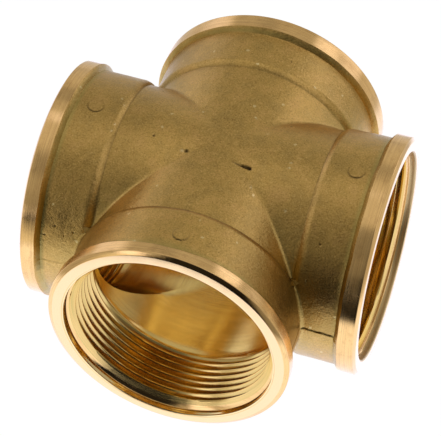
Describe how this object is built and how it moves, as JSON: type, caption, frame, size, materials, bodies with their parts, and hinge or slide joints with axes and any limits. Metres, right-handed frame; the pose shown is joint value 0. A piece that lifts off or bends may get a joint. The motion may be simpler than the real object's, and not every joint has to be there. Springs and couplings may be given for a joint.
{
  "type": "pipe cross fitting",
  "caption": "Brass pipe cross with equal internally threaded ports at right angles in one plane, turned collars and a pressed body.",
  "frame": {"origin": "the point where the two bore axes cross", "axes": "the two bore axes lie along X and Y; the front port faces -Y, the right port +X, and +Z is normal to the plane of the four ports"},
  "size_m": [0.1, 0.1, 0.0706],
  "materials": {
    "pressed_brass": "dull pressed and blasted skin, with bright turned collars, end faces and threads"
  },
  "bodies": {
    "root": {"cross_body": "pressed_brass"}
  },
  "joints": []
}
